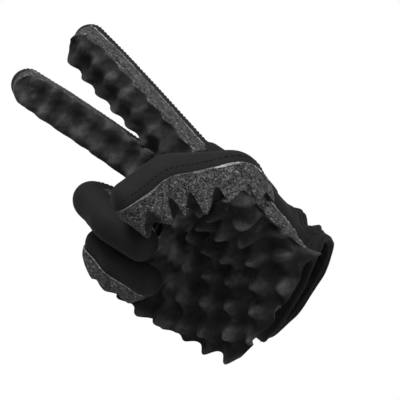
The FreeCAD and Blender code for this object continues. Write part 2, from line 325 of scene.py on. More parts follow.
class Nodes:
    """A short way to write a node material."""

    def __init__(self, name, roughness, sheen=0.0, sheen_roughness=0.5, specular=0.08):
        self.material = bpy.data.materials.new(name)
        self.material.use_nodes = True
        self.tree = self.material.node_tree
        self.shader = self.tree.nodes["Principled BSDF"]
        self.shader.inputs["Roughness"].default_value = roughness
        self.shader.inputs["Sheen Weight"].default_value = sheen
        self.shader.inputs["Sheen Roughness"].default_value = sheen_roughness
        self.shader.inputs["Specular IOR Level"].default_value = specular

    def node(self, kind, **values):
        node = self.tree.nodes.new(kind)
        for key, value in values.items():
            if key in node.inputs:
                node.inputs[key].default_value = value
            else:
                setattr(node, key, value)
        return node

    def link(self, source, target):
        self.tree.links.new(source, target)

    def noise(self, scale, detail, coord, rough=0.55):
        node = self.node("ShaderNodeTexNoise", Scale=scale, Detail=detail, Roughness=rough)
        self.link(coord, node.inputs["Vector"])
        return node.outputs["Fac"]

    def ramp(self, value, stops):
        node = self.node("ShaderNodeValToRGB")
        ramp = node.color_ramp
        while len(ramp.elements) < len(stops):
            ramp.elements.new(0.5)
        for element, (place, colour) in zip(ramp.elements, stops):
            element.position = place
            element.color = (*colour, 1)
        self.link(value, node.inputs["Fac"])
        return node.outputs["Color"]

    def math(self, operation, one, two=None):
        node = self.node("ShaderNodeMath", operation=operation)
        for i, value in enumerate((one, two)):
            if value is None:
                continue
            if isinstance(value, (int, float)):
                node.inputs[i].default_value = value
            else:
                self.link(value, node.inputs[i])
        return node.outputs[0]

    def mix(self, one, two, share):
        """The given share of one value and the rest of another."""
        return self.math("ADD", self.math("MULTIPLY", one, share), self.math("MULTIPLY", two, 1 - share))

    def bump(self, height, distance, strength=1.0, before=None):
        node = self.node("ShaderNodeBump", Strength=strength, Distance=distance)
        self.link(height, node.inputs["Height"])
        if before is not None:
            self.link(before, node.inputs["Normal"])
        return node.outputs["Normal"]

    def finish(self, colour, normal):
        self.link(colour, self.shader.inputs["Base Color"])
        self.link(normal, self.shader.inputs["Normal"])
        return self.material


def grey(value, blue=1.04):
    return (value, value, value * blue)


def knit_material(name, dark, light):
    """Fine stretch knit: columns of small loops, soft mottling and a faint sheen."""
    m = Nodes(name, 0.75, sheen=0.02, sheen_roughness=0.4, specular=0.11)
    place = m.node("ShaderNodeTexCoord")
    uv = m.node("ShaderNodeSeparateXYZ")
    m.link(place.outputs["UV"], uv.inputs[0])
    ribs = m.math("ABSOLUTE", m.math("SINE", m.math("MULTIPLY", uv.outputs["X"], math.pi / (0.9 * MM))))
    zig = m.math("MULTIPLY", ribs, 0.35 * MM)
    rows = m.math("SINE", m.math("MULTIPLY", m.math("ADD", uv.outputs["Y"], zig), 2 * math.pi / (0.8 * MM)))
    loops = m.math("MULTIPLY", ribs, m.math("ADD", m.math("MULTIPLY", rows, 0.3), 0.7))
    mottle = m.noise(90, 3, place.outputs["Object"])
    fuzz = m.noise(2600, 2, place.outputs["Object"])
    shade = m.mix(mottle, loops, 0.6)
    colour = m.ramp(shade, [(0.15, grey(dark)), (0.85, grey(light))])
    normal = m.bump(loops, 0.12 * MM, 0.55)
    normal = m.bump(fuzz, 0.05 * MM, 0.5, normal)
    return m.finish(colour, normal)


def sponge_face_material():
    """The moulded face: near black, with painted shade in the hollows and a painted highlight on the peaks.
    """
    m = Nodes("sponge_face", 0.9, sheen=0.03, sheen_roughness=0.3)
    place = m.node("ShaderNodeTexCoord").outputs["Object"]
    mottle = m.noise(105, 4, place)
    cell = m.node("ShaderNodeTexVoronoi", Scale=1500.0)
    m.link(place, cell.inputs["Vector"])
    pores = m.noise(1500, 3, place, 0.7)
    peak_highlight = m.node("ShaderNodeAttribute", attribute_name="peak_highlight").outputs["Fac"]
    shade = m.mix(mottle, pores, 0.62)
    # painted highlight and shade: the colour is lightened on the egg crate's peaks and darkened in its
    # hollows
    shade = m.math("ADD", shade, m.math("MULTIPLY", m.math("SUBTRACT", peak_highlight, 0.35), 0.20))
    stops = [(0.30, grey(0.005)), (0.52, grey(0.015)), (0.70, grey(0.045)), (0.90, grey(0.10))]
    colour = m.ramp(shade, stops)
    normal = m.bump(cell.outputs["Distance"], 0.25 * MM, 0.6)
    normal = m.bump(mottle, 0.8 * MM, 0.35, normal)
    return m.finish(colour, normal)


def sponge_cut_material():
    """The cut side: lighter, salt and pepper open cells."""
    m = Nodes("sponge_cut", 0.95, sheen=0.03, sheen_roughness=0.4)
    place = m.node("ShaderNodeTexCoord").outputs["Object"]
    grain = m.noise(1150, 4, place, 0.75)
    coarse = m.noise(420, 3, place, 0.6)
    cell = m.node("ShaderNodeTexVoronoi", Scale=1300.0)
    m.link(place, cell.inputs["Vector"])
    shade = m.mix(grain, coarse, 0.7)
    stops = [(0.40, grey(0.004)), (0.50, grey(0.030)), (0.58, grey(0.085)), (0.68, grey(0.26))]
    colour = m.ramp(shade, stops)
    normal = m.bump(grain, 0.5 * MM, 0.8)
    normal = m.bump(cell.outputs["Distance"], 0.3 * MM, 0.5, normal)
    return m.finish(colour, normal)


def fringe_material():
    """The sponge's pale backing where it shows at the edge."""
    m = Nodes("sponge_backing", 0.95, sheen=0.05)
    place = m.node("ShaderNodeTexCoord").outputs["Object"]
    grain = m.noise(900, 3, place, 0.8)
    patches = m.noise(75, 2, place)
    shade = m.mix(grain, patches, 0.5)
    colour = m.ramp(shade, [(0.42, grey(0.03)), (0.54, grey(0.13)), (0.68, grey(0.50))])
    return m.finish(colour, m.bump(grain, 0.4 * MM, 0.8))


def thread_material():
    m = Nodes("thread", 0.6)
    place = m.node("ShaderNodeTexCoord").outputs["Object"]
    twist = m.noise(2200, 1, place)
    colour = m.ramp(twist, [(0.3, grey(0.002)), (0.7, grey(0.008))])
    return m.finish(colour, m.bump(twist, 0.1 * MM, 0.5))


KNIT_CLOTH = knit_material("knit", 0.0045, 0.009)
CUFF_CLOTH = knit_material("cuff_knit", 0.003, 0.006)
TAPE = knit_material("elastic_tape", 0.020, 0.040)
SPONGE_FACE = sponge_face_material()
SPONGE_CUT = sponge_cut_material()
FRINGE = fringe_material()
THREAD = thread_material()
FACE, CUT, EDGE = 0, 1, 2
SPONGE = [SPONGE_FACE, SPONGE_CUT, FRINGE]


# ---- knit stalls ----

AROUND = 56             # points round a stall
CAP_TURN = np.linspace(0, math.pi / 2, 12)[1:]  # angles of the rows that close a tip


def stall(name, hinge, z_low, z_high, radius_low, radius_high, cap=0.0, seed=0.0, shift=((0, 0.0),)):
    """A tube of knit drawn straight over a hinge: outside, inside and rims.  cap closes the tip."""
    length = z_high - z_low
    rows = max(8, int(length / 1.2))
    z = list(np.linspace(z_low, z_high, rows))
    shrink = [1.0] * rows
    if cap:
        z += list(z_high + cap * np.sin(CAP_TURN))
        shrink += list(np.maximum(np.cos(CAP_TURN), 0.02))
    z, shrink = np.array(z), np.array(shrink)
    angle = np.arange(AROUND) * 2 * math.pi / AROUND
    mix = smooth_step((z - z_low) / length)
    radius = radius_low + (radius_high - radius_low) * mix
    if not cap:
        z[-2:] = z_high, z_high + 1.6
        radius[-1] -= 0.7

    def surface(inset):
        r = (radius - inset) * shrink
        p = np.zeros((len(z), AROUND, 3))
        p[..., 0] = r[:, None] * np.sin(angle)
        p[..., 1] = -r[:, None] * np.cos(angle)
        p[..., 2] = z[:, None]
        if cap:
            p[rows:, :, 2] -= inset * np.sin(CAP_TURN)[:, None]
        p[..., 1] -= table(z, shift)[:, None]
        return p

    outer, inner = surface(0.0), surface(KNIT)
    relief = 0.16 * wobble(outer, 13.0, seed) + 0.10 * wobble(outer, 6.0, seed + 1)
    crease = np.exp(-(outer[..., 2] / 5.0) ** 2) * np.clip(-outer[..., 1] / 8.0, 0, 1)
    relief = relief - 0.35 * crease * np.cos(outer[..., 2] * 1.6)
    push = relief * shrink[:, None]
    outer[..., 0] += push * np.sin(angle)
    outer[..., 1] -= push * np.cos(angle)
    build = Builder()
    around = np.arange(AROUND + 1) * (2 * math.pi * radius_low / AROUND)
    one = build.grid(hinge.world(outer), 0, (around, z), wrap=True)
    two = build.grid(hinge.world(inner), 0, (around, z), wrap=True, flip=True)
    build.bridge(one[0], two[0], 0)
    if cap:
        build.polygon(one[-1], 0)
        build.polygon(two[-1][::-1], 0)
    else:
        build.bridge(one[-1][::-1], two[-1][::-1], 0)
    return build.make(name, [KNIT_CLOTH])


def stitches(name, paths):
    """Rows of single stitches: each path is a list of points with the outward directions there."""
    build = Builder()
    for points, outwards in paths:
        run = np.concatenate([[0], np.cumsum(np.linalg.norm(np.diff(points, axis=0), axis=1))])
        for start in np.arange(0.4, run[-1] - STITCH_PITCH * 0.75, STITCH_PITCH):
            at = start + np.linspace(0, STITCH_PITCH * 0.72, 5)
            line = np.stack([np.interp(at, run, points[:, k]) for k in range(3)], axis=1)
            out = unit(np.array([np.interp(at[2], run, outwards[:, k]) for k in range(3)]))
            way = unit(line[-1] - line[0])
            side = unit(np.cross(way, out))
            rings = []
            for i, scale in enumerate((0.35, 0.9, 1.0, 0.9, 0.35)):
                ring = np.arange(6) * math.pi / 3
                lift = 0.12 * (scale - 0.6)
                rings.append(line[i] + out * lift + STITCH_RADIUS * scale * (
                    np.cos(ring)[:, None] * side + np.sin(ring)[:, None] * out))
            build.tube(np.array(rings))
    return build.make(name, [THREAD])


def side_stitch_paths(hinge, z_low, z_high, radius_low, radius_high, cap=0.0):
    """Topstitching along both sides of a stall, beside the sponge's edge, and round the tip."""
    paths = []
    length = z_high - z_low
    for side in (-1, 1):
        z = np.linspace(z_low, z_high, 40)
        radius = radius_low + (radius_high - radius_low) * smooth_step((z - z_low) / length)
        lean = -np.arcsin(SEAM_Y / radius) + TOPSTITCH_OFF / radius
        p = np.stack([side * radius * np.cos(lean), radius * np.sin(lean), z], axis=1)
        out = np.stack([side * np.cos(lean), np.sin(lean), 0 * z], axis=1)
        if cap:
            turn = np.linspace(0, math.pi / 2, 14)[1:]
            ring = np.stack([side * radius_high * np.cos(lean[-1]) * np.cos(turn),
                             radius_high * np.sin(lean[-1]) + 0 * turn,
                             z_high + cap * math.cos(lean[-1]) * np.sin(turn)], axis=1)
            p = np.concatenate([p, ring])
            ring_out = np.stack([side * np.cos(turn), 0.1 + 0 * turn, np.sin(turn)], axis=1)
            out = np.concatenate([out, ring_out])
        base = hinge.world(np.zeros((1, 3)))
        paths.append((hinge.world(p), hinge.world(out) - base))
    return paths


# ---- sponge strips ----

ACROSS = 27             # points across the face of a strip
WALL_ROWS = 9           # and up each cut side
STEP = 0.85             # its rows are this far apart
TIP_LEAN = 5.5          # the end of a strip leans back by this much,
LEAN_START = 14.0       # from this far before its tip
LEAN_SPAN = 18.0        # and over this length
NARROW_SPAN = 22.0      # it narrows over this length before its tip
CROOK = 8.5             # half length of the part that is flattened in the crook of a joint
UNEVEN = 0.30           # share by which its peaks differ
WALL_BOW = 0.8          # how far its cut sides bulge
BACKING = 0.07          # share of a cut side that the pale backing takes up


def strip(name, hinge, z_low, z_high, radius_low, radius_high, digit, along_start, turn,
          shift=((0, 0.0),), tip=0.0, squash=0.0):
    """A strip of egg-crate sponge drawn straight over a hinge.

    tip rounds its far end, turn winds it round the digit, shift moves it to the palm side, and squash
    flattens it in the crook of a bent joint.
    """
    half, low, high = digit["half"], digit["low"], digit["high"]
    seam = digit.get("seam", SEAM_Y)
    z = np.linspace(z_low, z_high, int((z_high - z_low) / STEP) + 1)
    q = np.zeros(len(z))
    if tip:
        round_end = np.radians(np.linspace(0, 84, 15)[1:])
        z = np.concatenate([z, z_high + tip * np.sin(round_end)])
        q = np.concatenate([q, np.sin(round_end)])
    rows = len(z)
    t = np.linspace(-1, 1, ACROSS)
    radius = radius_low + (radius_high - radius_low) * smooth_step((z - z_low) / (z_high - z_low))
    past = z - z_high
    narrow = digit.get("narrow", 1.1) * smooth_step((past + NARROW_SPAN) / NARROW_SPAN) if tip else 0 * z
    width = (half - narrow) * np.sqrt(1 - q ** 2)
    inset = 0.7 + 0.8 * q
    setback = TIP_LEAN * smooth_step((past + LEAN_START) / LEAN_SPAN) if tip else 0 * z
    top_half = np.maximum(width - inset, 0.3 * width)
    top_z = z - setback
    s = t[None, :] * top_half[:, None]
    along = along_start + (top_z - z_low)
    crate = egg_crate(s, along[:, None] + 0 * s, digit["crate"], digit["phase"], power=digit["power"],
                      floor=digit.get("floor", 0.0))
    rough = np.stack([s, along[:, None] + 0 * s, 0 * s], axis=-1)
    # the valleys follow the round of the knit towards the sides
    fall = np.sqrt(np.maximum(radius[:, None] ** 2 - s ** 2, 0)) - radius[:, None]
    uneven = 1 + UNEVEN * wobble(rough, 27.0, 1.0)
    height = low + digit.get("drop", 0.3) * fall * (1 - crate) + (high - low) * crate * uneven
    height = height + 0.45 * wobble(rough, 4.7, 2.0)
    near = np.exp(-(z / CROOK) ** 2)[:, None]
    height = height * (1 - squash * near) * (1 - 0.12 * q[:, None] ** 2)
    top = np.zeros((rows, ACROSS, 3))
    top[..., 0], top[..., 1], top[..., 2] = s, -(radius[:, None] + height), top_z[:, None]
    # lean the peaks at the sides slightly outwards
    top[..., 0] += 0.05 * s * np.clip(height / 10, 0, 2)
    base_y = np.full(rows, -seam)
    wall = []
    steps = np.concatenate([[0.0, BACKING / 2, BACKING], np.linspace(BACKING, 1, WALL_ROWS - 2)[1:]])
    for side in (-1, 1):
        edge = top[:, 0 if side < 0 else -1]
        foot = np.stack([side * width, base_y, z], axis=1)
        rows_out = []
        for k in steps:
            p = foot * (1 - k) + edge * k
            bow = WALL_BOW * math.sin(math.pi * k)
            p[:, 0] += side * bow * (1 - 0.6 * q)
            if 0 < k < 1:
                p[:, 0] += side * 0.22 * wobble(np.stack([z, p[:, 1], 0 * z], axis=1), 3.3, side)
            if 0 < k < BACKING:
                p[:, 0] += side * (0.42 + 0.30 * wobble(p, 1.9, 3.0))
            rows_out.append(p)
        wall.append(np.stack(rows_out, axis=1))
    # the underside follows the knit
    under_t = np.linspace(1, -1, 11)[1:-1]
    x = under_t[None, :] * width[:, None]
    tip_round = np.sqrt(np.maximum(1 - q ** 2, 0))[:, None]
    round_part = np.sqrt(np.maximum(radius[:, None] ** 2 - x ** 2, 0)) * tip_round
    under = np.zeros((rows, len(under_t), 3))
    under[..., 0], under[..., 1], under[..., 2] = x, -np.maximum(round_part, seam + 0.05) + 0.15, z[:, None]
    loop = np.concatenate([top, wall[1][:, ::-1][:, 1:], under, wall[0][:, :-1]], axis=1)
    twist = np.radians(table(z, turn))[:, None]
    x, y = loop[..., 0].copy(), loop[..., 1].copy()
    loop[..., 0] = x * np.cos(twist) - y * np.sin(twist)
    loop[..., 1] = x * np.sin(twist) + y * np.cos(twist) - table(z, shift)[:, None]
    build = Builder()
    walls = len(steps) - 1
    # materials round the strip: its face, one side with the backing at its foot, the underside, the other
    kinds = [FACE] * (ACROSS - 1) + [CUT] * (walls - 2) + [EDGE] * 2 + [CUT] * (len(under_t) + 1) + [EDGE] * 2
    kinds += [CUT] * (loop.shape[1] - len(kinds))
    build.tube(hinge.world(loop), lambda row, column: kinds[column], CUT)
    obj = build.make(name, SPONGE)
    # the crate's height, stored for the painted highlight on the peaks and painted shade in the hollows
    peaks = np.zeros(loop.shape[:2])
    peaks[:, :ACROSS] = crate
    mark_peaks(obj, peaks)
    return obj


def mark_peaks(obj, values):
    """Store how high each vertex stands on the egg crate, for the painted highlight on the sponge's peaks and
    the painted shade in its hollows.
    """
    layer = obj.data.attributes.new("peak_highlight", "FLOAT", "POINT")
    layer.data.foreach_set("value", np.asarray(values, np.float32).ravel())


# ---- digits ----

def dress(obj, slot, *nodes):
    if nodes:
        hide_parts(*nodes)


# where the first pieces of a finger and of the thumb start, from the knuckle
STALL_START, STRIP_START, STITCH_START = -15.0, -9.0, -6.0
THUMB_STALL_START, THUMB_STRIP_START = -22.0, -16.0


def finger(name, hinges):
    d = DIGITS[name]
    lengths, radius, reach = d["length"], d["radius"], d["reach"]
    along = 0.0
    second = (-lengths[0] / 2, lengths[1] * 0.52)
    third = (-lengths[1] * 0.48, lengths[2])
    spans = [(STALL_START, lengths[0] / 2), second, third]
    strip_spans = [(STRIP_START, lengths[0] / 2), second, third]
    for i, hinge in enumerate(hinges):
        cap = radius[3] if i == 2 else 0.0
        piece = f"{name}_{JOINT_NAMES[i]}"
        z_low, z_high = spans[i]
        tube = stall(f"{piece}_knit", hinge, z_low, z_high, radius[i], radius[i + 1], cap,
                     seed=i + len(name))
        dress(tube, "knit_fabric", f"{name}_{SEGMENTS[i]}_stall")
        threads = stitches(f"{piece}_topstitch", side_stitch_paths(
            hinge, STITCH_START if i == 0 else z_low, z_high, radius[i], radius[i + 1], cap))
        dress(threads, "knit_fabric")
        z_low, z_high = strip_spans[i]
        squash = min(0.72, abs(d["bend"][i]) / 115)
        turn = ((z_low, d["turn"][i]), (z_high, d["turn"][i + 1]))
        sponge = strip(f"{piece}_sponge", hinge, z_low, z_high, radius[i], radius[i + 1], d, along, turn,
                       tip=radius[3] - 1.4 if i == 2 else 0.0, squash=squash)
        dress(sponge, "foam", f"{name}_{SEGMENTS[i]}_foam")
        along += z_high - z_low
        for obj in (tube, threads, sponge):
            bend_as_worn(obj, hinge, reach[i] * (0.75 if i == 0 else 1), reach[i] * (1.25 if i == 0 else 1))


def thumb(hinges):
    d = THUMB
    lengths, radius, reach = d["length"], d["radius"], d["reach"]
    spans = [(THUMB_STALL_START, lengths[0] / 2), (-lengths[0] / 2, lengths[1])]
    radii = [(radius[0], radius[1]), (radius[1], radius[2])]
    along = 0.0
    for i, hinge in enumerate(hinges):
        cap = d["tip"] if i == 1 else 0.0
        part = (SEGMENTS[0], SEGMENTS[2])[i]
        piece = f"thumb_{('knuckle', 'tip_joint')[i]}"
        z_low, z_high = spans[i]
        tube = stall(f"{piece}_knit", hinge, z_low, z_high, *radii[i], cap, seed=7.0 + i,
                     shift=THUMB_SHIFT[i])
        dress(tube, "knit_fabric", f"thumb_{part}_stall")
        start = THUMB_STRIP_START if i == 0 else z_low
        sponge = strip(f"{piece}_sponge", hinge, start, z_high, *radii[i], d, along, THUMB_TURN[i],
                       THUMB_SHIFT[i], tip=cap, squash=THUMB_SQUASH[i])
        dress(sponge, "foam", f"thumb_{part}_foam")
        threads = stitches(f"{piece}_topstitch", thumb_stitch_paths(hinge, start, z_high, radii[i], i, cap))
        dress(threads, "knit_fabric")
        along += z_high - start
        for obj in (tube, threads, sponge):
            bend_as_worn(obj, hinge, reach[i], reach[i])


def thumb_stitch_paths(hinge, z_low, z_high, radii, i, cap):
    """Topstitching beside both edges of the thumb's wound sponge."""
    z = np.linspace(z_low, z_high + (cap * 0.8 if cap else 0), 50)
    mix = smooth_step((z - z_low) / (z_high - z_low))
    past = np.maximum(z - z_high, 0) / max(cap, 1)
    radius = (radii[0] + (radii[1] - radii[0]) * mix) * np.sqrt(np.clip(1 - past ** 2, 0, 1))
    paths = []
    origin = hinge.world(np.zeros((1, 3)))
    for side in (-1, 1):
        lean = side * (-THUMB["seam"] + TOPSTITCH_OFF) / 12.0
        angle = np.radians(table(z, THUMB_TURN[i])) + (0 if side > 0 else math.pi) + lean
        out = np.stack([np.cos(angle), np.sin(angle), 0 * z], axis=1)
        p = out * radius[:, None]
        p[:, 2] = z
        p[:, 1] -= table(z, THUMB_SHIFT[i])
        paths.append((hinge.world(p), hinge.world(out) - origin))
    return paths


# ---- hand shell ----

def rod(start, end, radius_start, radius_end):
    """A round bar with ball ends, as a grid of points."""
    start, end = vec(start), vec(end)
    way = unit(end - start)
    side = unit(np.cross(way, [0.3, 0.9, 0.1]))
    other = np.cross(way, side)
    cols = 28
    b = (np.arange(cols) * 2 * math.pi / cols)[:, None]
    round_side = np.cos(b) * side + np.sin(b) * other
    rows = []
    for a in np.linspace(0, math.pi / 2, 7):
        rows.append(start - way * radius_start * math.cos(a) + round_side * radius_start * math.sin(a))
    for a in np.linspace(math.pi / 2, 0, 7):
        rows.append(end + way * radius_end * math.cos(a) + round_side * radius_end * math.sin(a))
    return np.array(rows)


def slot_ring(z, centre, half_width, half_thick, lift=0.0, count=64, power=2.4):
    a = np.arange(count) * 2 * math.pi / count
    c, s = np.cos(a), np.sin(a)
    x = np.sign(c) * np.abs(c) ** (2 / power) * half_width + centre
    y = np.sign(s) * np.abs(s) ** (2 / power) * half_thick + lift
    return np.stack([x, y, np.full(count, z)], axis=1)


PALM_RINGS = [  # z, centre x, half width, half thickness, centre y
    (-4.0, 0.0, 29.5, 20.5, 0.0), (0.0, 0.0, 29.6, 20.4, 0.0), (14.0, -0.5, 31.0, 19.2, 0.0),
    (30.0, -1.5, 35.5, 17.2, 0.0), (52.0, -2.5, 40.5, 14.6, 0.5), (70.0, -2.5, 41.5, 13.0, 0.5),
    (84.0, -2.0, 40.5, 11.5, 0.5)]


def thumb_bone(hinges):
    """Directions of the thumb's root: the hinge axis, the back of the thumb and the bone."""
    first = hinges["thumb"][0]
    return first.x, first.y, first.z


CUFF_DROP, CUFF_RISE = 7.0, 2.5  # how much longer the cuff is in front, and shorter at its sides
DROOP_SPAN = 24.0  # height over which that fades


def droop(p):
    """The cuff is longer on the palm side and a little shorter at its sides."""
    p = np.array(p, float)
    angle = np.arctan2(p[..., 1] / 22, p[..., 0] / 30)
    front = np.clip(-np.sin(angle), 0, 1) ** 1.5
    side = np.abs(np.cos(angle)) ** 3
    near = 1 - smooth_step(p[..., 2] / DROOP_SPAN)
    p[..., 2] += near * (CUFF_RISE * side - CUFF_DROP * front)
    p[..., 1] -= near * 1.5 * front
    return p


def hand_shell(hinges):
    """The knit over palm, back and thumb root: one skin, open at the wrist."""
    solids = [np.array([slot_ring(z, x, w, t, lift) for z, x, w, t, lift in PALM_RINGS])]
    for name in DIGITS:
        hinge = hinges[name][0]
        r = DIGITS[name]["radius"][0]
        inside = hinge.world([0, 0, -26]) + [0, -0.5, 0]
        solids.append(rod(inside, hinge.world([0, 0, -0.5]), r + 0.6, r - 0.35))
    thumb_root = joint_place("thumb_swing")
    knuckle = hinges["thumb"][0].pos
    bone = thumb_bone(hinges)
    mid = thumb_root * 0.45 + knuckle * 0.55
    solids.append(rod(thumb_root + [-5, 3, -5] - bone[1] * 2, mid - bone[1] * 3, 13.5, 12.2))
    solids.append(rod(mid - bone[1] * 3, thumb_root * 0.16 + knuckle * 0.84 - bone[1] * 3.2, 12.2, 11.2))
    index_root = hinges["index"][0].pos
    solids.append(rod(mid * 0.75 + index_root * 0.25 - bone[1] * 4, index_root + [-2, 0, -18], 8.0, 9.0))
    solids.append(rod(thumb_root + [-10, -3, 8], mid + [-10, 5, -2], 13.0, 9.0))
    build = Builder()
    for grid in solids:
        build.tube(grid)
    obj = build.make("hand_shell_knit", [KNIT_CLOTH])
    outward(obj)
    remesh = obj.modifiers.new("union", "REMESH")
    remesh.mode, remesh.voxel_size = "VOXEL", 1.6 * MM
    soften = obj.modifiers.new("soften", "SMOOTH")
    soften.factor, soften.iterations = 0.6, 22
    apply_modifiers(obj)
    remake(obj, open_wrist)
    shape(obj, pucker)
    shape(obj, droop)
    shell = obj.modifiers.new("shell", "SOLIDIFY")
    shell.thickness, shell.offset = 1.0 * MM, -1.0
    apply_modifiers(obj)
    box_uv(obj)
    return obj


def apply_modifiers(obj):
    deps = bpy.context.evaluated_depsgraph_get()
    mesh = bpy.data.meshes.new_from_object(obj.evaluated_get(deps))
    obj.modifiers.clear()
    obj.data = mesh
    mesh.polygons.foreach_set("use_smooth", [True] * len(mesh.polygons))


WRIST_CUT = 1.2         # height at which the shell ends, inside the hem


def open_wrist(bm):
    """Cut the shell off flat at the wrist opening."""
    geometry = bm.verts[:] + bm.edges[:] + bm.faces[:]
    bmesh.ops.bisect_plane(bm, geom=geometry, plane_co=(0, 0, WRIST_CUT * MM), plane_no=(0, 0, -1),
                           clear_outer=True)


ELASTIC_Z, ELASTIC_WIDTH = 16.0, 2.6  # the line along which the wrist is gathered
PUFFS = ((9.5, 4.0, 1.0), (22.5, 4.5, 0.85))  # height, half width and share of the puffs beside it
PUFF, GATHER = 5.4, 2.0  # how far they stand out, and how far the line is drawn in


def pucker(p):
    """Gather the wrist along the elastic, from its thumb side round the back."""
    angle = np.arctan2(p[:, 1] / 21, p[:, 0] / 30)
    back = smooth_step((angle + 0.60) / 0.35) * smooth_step((3.4 - angle) / 0.5)
    z = p[:, 2]
    puffs = sum(share * np.exp(-((z - at) / wide) ** 2) for at, wide, share in PUFFS)
    line = np.exp(-((z - ELASTIC_Z) / ELASTIC_WIDTH) ** 2)
    ripple = np.abs(np.sin(angle * 10 + 0.9 * np.sin(z * 0.3 + angle * 5))) ** 0.6
    push = back * (puffs * (PUFF * ripple - 1.2) - GATHER * line * (1 - 0.5 * ripple))
    ring = np.stack([np.cos(angle), np.sin(angle)], axis=1)
    p[:, :2] += ring * push[:, None]
    p[:, :2] += 0.22 * wobble(p, 17.0, 4.0)[:, None] * ring
    return p


def box_uv(obj):
    """UVs in metres: up Z, and across along X where the skin faces front or back, else along Y."""
    mesh = obj.data
    layer = mesh.uv_layers.get("UVMap") or mesh.uv_layers.new(name="UVMap")
    co = rows_of(mesh.vertices, "co", 3)
    loop = rows_of(mesh.loops, "vertex_index", kind=np.int32)[:, 0]
    flat = np.abs(rows_of(mesh.vertices, "normal", 3)[:, 1]) > 0.6
    u = np.where(flat, co[:, 0], co[:, 1])
    uv = np.stack([u[loop], co[loop, 2]], axis=1)
    layer.data.foreach_set("uv", uv.astype(np.float32).ravel())


# ---- palm sponge ----

# The sheet over palm and thumb root at the level of its valleys.  Its guide lines run from the wrist
# to the fingers, each through a point at the wrist, one half way and one at the far edge, in mm.
# On the thumb: along its bone from the root, out to its palm face, and round towards its back.
THUMB_GUIDES = [
    [(-2.5, 19, 9), (25, 18, 6), (49, 17, 4.5)],
    [(-2.5, 25, 1), (25, 19.5, -6), (48, 19, -8)],
]
# On the palm: x, y, z, from the ball of the thumb across to the little finger's side.
PALM_GUIDES = [
    [(12, -30, -5), (15, -34, 30), (25, -41, 52)],
    [(-1, -30, -5), (2, -27, 36), (12, -25, 64)],
    [(-14, -28, -3), (-12, -24, 40), (-6, -20, 74)],
    [(-27, -24, 0), (-33, -24, 41), (-30, -21, 77)],
    [(-38, -19, 4), (-51, -20, 42), (-51, -23, 79)],
]
PALM_SHEET_SIZE = (140, 132)  # points along and across the sheet
PALM_TURN, PALM_PHASE = -12, (1.0, 3.0)  # how its egg crate lies
SHEET_LOW, SHEET_HIGH = 7.0, 11.5   # its thickness below the valleys, and the peaks above them
WRIST_BEVEL = 9.0       # how far its underside is cut back at the wrist, mm
BEVEL_LENGTH = 0.16     # share of the sheet's length over which it is
PALM_BOW = 0.5          # how far its cut edge bulges, mm
RIM_SLOPE = 5.5         # how far the cut edge beside the thumb leans in, mm
RIM_WIDTH = 0.11        # share of the sheet's width over which it does


def spline(points, at):
    """Smooth curve through the points (first axis), read at parameters from 0 to 1."""
    p = vec(points)
    n = len(p)
    padded = np.concatenate([2 * p[:1] - p[1:2], p, 2 * p[-1:] - p[-2:-1]])
    t = np.clip(at, 0, 1) * (n - 1)
    i = np.minimum(t.astype(int), n - 2)
    f = (t - i).reshape((-1,) + (1,) * (p.ndim - 1))
    a, b, c, d = (padded[i + k] for k in range(4))
    square = 2 * a - 5 * b + 4 * c - d
    cube = 3 * b - a - 3 * c + d
    return 0.5 * (2 * b + (c - a) * f + square * f ** 2 + cube * f ** 3)


def grid_normals(p, toward):
    du, dv = np.gradient(p, axis=1), np.gradient(p, axis=0)
    n = np.cross(du, dv)
    n /= np.linalg.norm(n, axis=-1, keepdims=True)
    return n * np.sign((n * vec(toward)).sum(-1, keepdims=True))


def run_length(p, axis):
    """Distance in mm along the rows or columns of a grid of points."""
    steps = np.linalg.norm(np.diff(p, axis=axis), axis=-1)
    zero = np.zeros_like(np.take(steps, [0], axis=axis))
    return np.concatenate([zero, np.cumsum(steps, axis=axis)], axis=axis)


def palm_guides(hinges):
    """Control points of the sheet: its guide lines by column, those on the thumb set by its joints."""
    root = joint_place("thumb_swing")
    face, back, bone = thumb_bone(hinges)
    on_thumb = [[root + bone * s + face * out + back * side for s, out, side in guide]
                for guide in THUMB_GUIDES]
    return np.array(on_thumb + [[vec(p) for p in guide] for guide in PALM_GUIDES]).transpose(1, 0, 2)


